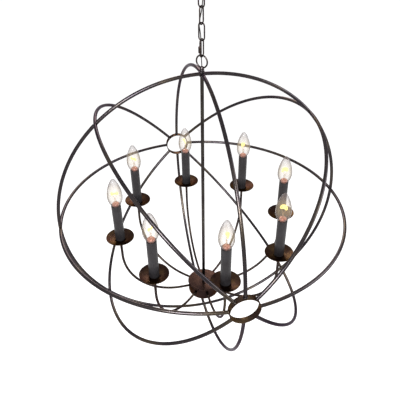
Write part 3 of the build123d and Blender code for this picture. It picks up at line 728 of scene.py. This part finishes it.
envelope = spun("envelope_pattern", [(0.0084, -0.52425), (0.0098, -0.5222), (0.0126, -0.5182),
                (0.0152, -0.5134), (0.0172, -0.5078), (0.0183, -0.5018), (0.0185, -0.4971),
                (0.0183, -0.4912), (0.0175, -0.4846), (0.016, -0.4776), (0.0139, -0.4706),
                (0.0113, -0.4637), (0.0084, -0.4573), (0.0055, -0.4524), (0.003, -0.4495),
                (0.0012, -0.4485), (0, -0.44825)], 48)
close_up(envelope, glass, wall=0.0006, smooth=60)
brass = finish("brass_cap", [(0.55, 0.27, 0.12), (0.7, 0.4, 0.18), (0.78, 0.5, 0.24)], (0.2, 0.35),
               patch=200)
cap_crest, cap_root, cap_pitch = 0.0059, 0.0052, 0.0026
lamp_cap = spun("lamp_cap_pattern", [(0, -0.54425), (0.002, -0.54425), (0.0032, -0.5434),
                (cap_root, -0.5424)] + thread(-0.5418, -0.529, cap_crest, cap_root, cap_pitch)
                + [(0.0056, -0.5262), (0.0078, -0.5246), (0.0081, -0.5238), (0.0066, -0.5236),
                (0, -0.5236)], 40)
close_up(lamp_cap, brass, smooth=50)
copper = finish("copper_seat", [(0.3, 0.08, 0.05), (0.5, 0.18, 0.12), (0.68, 0.34, 0.25)], (0.35, 0.5),
                patch=260, metallic=0.35)
seat = spun("lamp_seat_pattern", [(0, -0.5235), (0.0079, -0.5234), (0.0088, -0.5207), (0.0085, -0.5178),
            (0.0066, -0.5158), (0.0034, -0.5147), (0, -0.5144)], 32)
close_up(seat, copper, smooth=60)
mount = spun("lamp_mount_pattern", [(0, -0.5146), (0.0034, -0.5145), (0.0026, -0.512), (0.0022, -0.507),
             (0.0028, -0.5045), (0.002, -0.5025), (0, -0.502)], 24)
close_up(mount, glass, smooth=60)
wires = round_bar("lamp_wires_pattern", 0.0006, (0.0012, 0, -0.512), (0, 0, 0), sides=6)
drawn_out((0.0002, 0, 0.0105))
drawn_out((0.0046, 0, 0.012))
close_up(wires, brass)
filament_glow = finish("filament_glow", [(0.5, 0.3, 0.04), (0.6, 0.4, 0.08)], (0.4, 0.6), patch=300,
                       metallic=0)
white_hot = filament_glow.node_tree.nodes["Principled BSDF"]
white_hot.inputs["Emission Color"].default_value = (1, 0.92, 0.36, 1)
white_hot.inputs["Emission Strength"].default_value = 1
filament_height, arch_width, arch_depth, coil_radius, coil_rise = -0.489, 0.0062, 0.0032, 0.0028, 0.0044
winding, coils, to_the_turn = [], 9, 8
for i in range(coils * to_the_turn + 1):
    turn, sweep = 2 * pi * i / to_the_turn, pi * i / (coils * to_the_turn)
    winding.append(((arch_width + coil_radius * cos(turn)) * cos(sweep),
                    (arch_depth + coil_radius * sin(turn)) * sin(sweep),
                    filament_height + coil_rise * sin(turn) + 0.0015 * sin(sweep)))
coil = wire_along("filament_pattern", winding, 0.0014, 3, 1, filament_glow)

# The eight arms stand an eighth of a turn apart, each with its nuts, pan, sleeve, socket and lamp.
for number, arm_turn in enumerate(arm_turns, 1):
    turn = Matrix.Rotation(arm_turn, 4, "Z")
    out = turn @ Matrix.Translation((candle_ring, 0, 0))
    belongs(copy_of(arm, f"arm_bend_{number}", turn), "orb", "arm_tube", f"arm_{number}")
    belongs(copy_of(arm_nut, f"arm_lock_nut_{number}", turn), "orb", "lock_nuts", "arm_nuts")
    belongs(copy_of(pan_nut, f"pan_lock_nut_{number}", turn), "orb", "lock_nuts", "pan_nuts")
    belongs(copy_of(pan, f"pan_{number}", out), "orb", "spun_sheet", "drip_pans")
    belongs(copy_of(sleeve, f"sleeve_{number}", out), "orb", "sleeve", f"candle_sleeve_{number}")
    belongs(copy_of(socket, f"socket_{number}", out), "orb", "socket", "sockets")
    body = f"bulb_{number}"
    for pattern, what in ((envelope, "envelope"), (lamp_cap, "cap"), (seat, "seat"), (mount, "mount"),
                          (coil, "filament")):
        belongs(copy_of(pattern, f"lamp_{what}_{number}", out), body, "bulb_glass", body)
    for side, half in (("left", 0), ("right", pi)):
        wire = copy_of(wires, f"lamp_wire_{side}_{number}", out @ Matrix.Rotation(half, 4, "Z"))
        belongs(wire, body, "bulb_glass", body)
for pattern in (arm, arm_nut, pan_nut, pan, sleeve, socket, envelope, lamp_cap, seat, mount, coil, wires):
    bpy.data.objects.remove(pattern)


# ---- room, light and camera ----
# A plain pale floor at the foot of the room, a pale room behind it and three large soft lamps.
# Floor and room look white to the camera, in metal and through glass, but light the chandelier less.
def looked_at(nodes, links):
    """1 for a ray that sees the room as a backdrop, and 0 for one that only brings its light."""
    rays = nodes.new("ShaderNodeLightPath")
    reached = rays.outputs["Is Camera Ray"]
    for kind in ("Is Glossy Ray", "Is Transmission Ray"):
        reached = reckoned(nodes, links, "MAXIMUM", reached, rays.outputs[kind])
    return reached


bpy.ops.object.select_all(action="DESELECT")
bpy.ops.mesh.primitive_plane_add(size=60, location=(0, 0, -2.4))
floor = bpy.context.object
floor.name = "floor"
pale = bpy.data.materials.new("pale_floor")
pale.use_nodes = True
nodes, links = pale.node_tree.nodes, pale.node_tree.links
pale_surface = nodes["Principled BSDF"]
pale_surface.inputs["Base Color"].default_value = (0.85, 0.85, 0.85, 1)
pale_surface.inputs["Roughness"].default_value = 0.9
pale_surface.inputs["Emission Color"].default_value = (1, 1, 1, 1)
floor_level = reckoned(nodes, links, "MULTIPLY", looked_at(nodes, links), 0.62)
links.new(floor_level, pale_surface.inputs["Emission Strength"])
floor.data.materials.append(pale)

world = bpy.data.worlds.new("room")
bpy.context.scene.world = world
world.use_nodes = True
nodes, links = world.node_tree.nodes, world.node_tree.links
background = nodes["Background"]
background.inputs["Color"].default_value = (1, 1, 1, 1)
room_level = from_to(nodes, links, looked_at(nodes, links), (0, 1), (0.45, 1))
links.new(room_level, background.inputs["Strength"])

cool, warm = (0.93, 0.95, 1), (1, 0.93, 0.85)
lit_point = Vector((0, 0, -0.57))
for name, place, size, power, colour in (("key", (-0.9, -1.9, 0.7), 0.8, 84, cool),
                                         ("fill", (1.8, -0.6, 0.2), 1.2, 30, cool),
                                         ("back", (0.3, 1.9, 0.6), 1.0, 30, warm)):
    lamp = bpy.data.lights.new(name, "AREA")
    lamp.size = size
    lamp.energy = power
    lamp.color = colour
    lamp_object = bpy.data.objects.new(name, lamp)
    lamp_object.location = place
    aim = lit_point - Vector(place)
    lamp_object.rotation_euler = aim.to_track_quat("-Z", "Y").to_euler()
    bpy.context.collection.objects.link(lamp_object)

# The camera stands about a metre in front of the chandelier and looks down into it.
camera = bpy.data.cameras.new("camera")
camera.lens = 43.15
camera.sensor_width = 36
camera.shift_x = -0.0214
camera.shift_y = -0.0092
camera_object = bpy.data.objects.new("camera", camera)
forward = Vector((0.199225, 0.798244, -0.568433)).normalized()
right = Vector((0.970201, -0.2423, -0.000221)).normalized()
turn = Matrix((right, right.cross(forward), -forward)).transposed().to_4x4()
camera_object.matrix_world = Matrix.Translation((-0.22462, -0.95751, 0.1465)) @ turn
bpy.context.collection.objects.link(camera_object)
bpy.context.scene.camera = camera_object
bpy.context.scene.view_settings.view_transform = "Standard"
